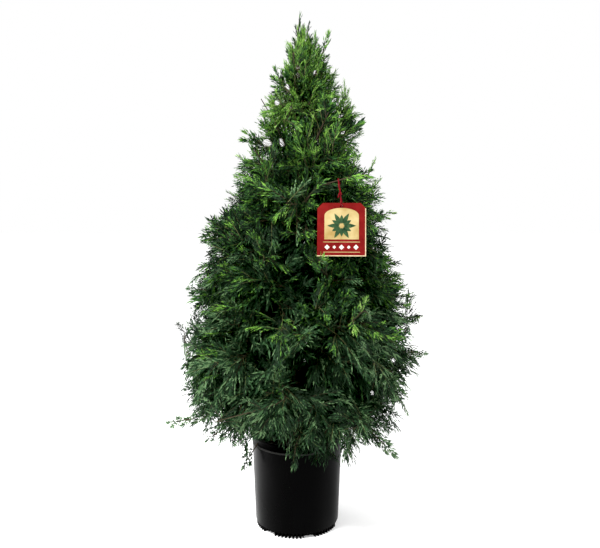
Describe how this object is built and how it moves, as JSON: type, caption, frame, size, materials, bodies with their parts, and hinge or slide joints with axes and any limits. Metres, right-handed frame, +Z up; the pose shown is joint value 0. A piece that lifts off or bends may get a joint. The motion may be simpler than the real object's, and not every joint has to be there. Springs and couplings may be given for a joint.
{
  "type": "potted leyland cypress",
  "caption": "Young conical evergreen with dense feathery sprays on rising boughs round a straight trunk, grown in a black nursery can, with a printed card tied to a twig.",
  "frame": {"origin": "middle of the flat underside of the can", "axes": "+Z up along the trunk, +X to the right and -Y towards a viewer facing the card"},
  "size_m": [0.718, 0.6546, 1.3767],
  "materials": {
    "pot_plastic": "moulded black plastic with a soft sheen",
    "bark_mix": "loose dark bark chips",
    "bark": "thin fibrous brown bark",
    "foliage": "scale leaves in flat sprays, deep green with fresher tips",
    "tag_card": "printed card, satin",
    "tie_cord": "twisted red cord"
  },
  "bodies": {
    "root": {"pot": "pot_plastic", "potting_mix": "bark_mix", "trunk": "bark", "hang_tag": "tag_card", "tag_tie": "tie_cord", "bough_01": "bark", "bough_02": "bark", "bough_03": "bark", "bough_04": "bark", "bough_05": "bark", "bough_06": "bark", "bough_07": "bark", "bough_08": "bark", "bough_09": "bark", "bough_10": "bark", "bough_11": "bark", "bough_12": "bark", "bough_13": "bark", "bough_14": "bark", "bough_15": "bark", "bough_16": "bark", "bough_17": "bark", "bough_18": "bark", "bough_19": "bark", "bough_20": "bark", "bough_21": "bark", "bough_22": "bark", "bough_23": "bark", "foliage_leader": "foliage", "foliage_01": "foliage", "foliage_02": "foliage", "foliage_03": "foliage", "foliage_04": "foliage", "foliage_05": "foliage", "foliage_06": "foliage", "foliage_07": "foliage", "foliage_08": "foliage", "foliage_09": "foliage", "foliage_10": "foliage", "foliage_11": "foliage", "foliage_12": "foliage", "foliage_13": "foliage", "foliage_14": "foliage", "foliage_15": "foliage", "foliage_16": "foliage", "foliage_17": "foliage", "foliage_18": "foliage", "foliage_19": "foliage", "foliage_20": "foliage", "foliage_21": "foliage", "foliage_22": "foliage", "foliage_23": "foliage", "foliage_24": "foliage", "foliage_25": "foliage", "foliage_26": "foliage"}
  },
  "joints": []
}
